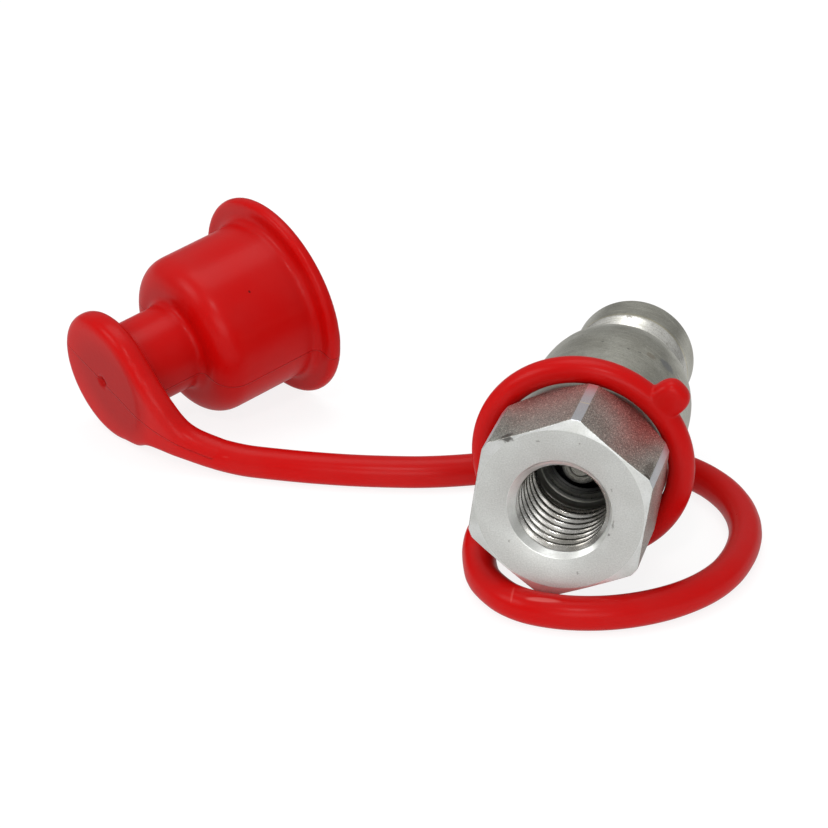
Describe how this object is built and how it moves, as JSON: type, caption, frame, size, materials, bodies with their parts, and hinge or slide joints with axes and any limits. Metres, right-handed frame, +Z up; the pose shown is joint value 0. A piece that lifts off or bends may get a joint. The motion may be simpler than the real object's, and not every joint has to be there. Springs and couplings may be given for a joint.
{
  "type": "hydraulic quick coupler plug",
  "caption": "Male half of a hydraulic quick coupler with hexagon, threaded port, ball groove, poppet valve, and a soft dust cap on a strap ring.",
  "frame": {"origin": "on the ground under the middle of the plug, its strap's ring and the dust cap, measured without the strap", "axes": "+Y from the threaded port towards the coupling nose, level; +X from the dust cap towards the plug; +Z up"},
  "size_m": [0.1254, 0.0897, 0.0366],
  "materials": {
    "plug_steel": "zinc plated turned steel, satin, with fine turning marks and small nicks",
    "valve_steel": "turned steel, satin",
    "spring_steel": "dark spring steel",
    "seal_rubber": "black moulded rubber",
    "cap_red": "moulded soft red plastic with a soft sheen and parting lines"
  },
  "bodies": {
    "plug": {"plug_body": "plug_steel", "poppet_spring": "spring_steel", "valve_guide": "valve_steel", "retaining_ring": "spring_steel", "strap_ring": "cap_red", "cap_strap": "cap_red", "dust_cap": "cap_red"},
    "valve": {"poppet": "valve_steel", "poppet_seal": "seal_rubber"}
  },
  "joints": [
    {"name": "poppet_slide", "type": "slide", "parent": "plug", "child": "valve", "axis": [0, -0.9992, 0.0401], "range_m": [0, 0.0055], "stiffness_N_per_m": 2000, "springref_m": -0.005, "deforming": ["poppet_spring"]}
  ]
}
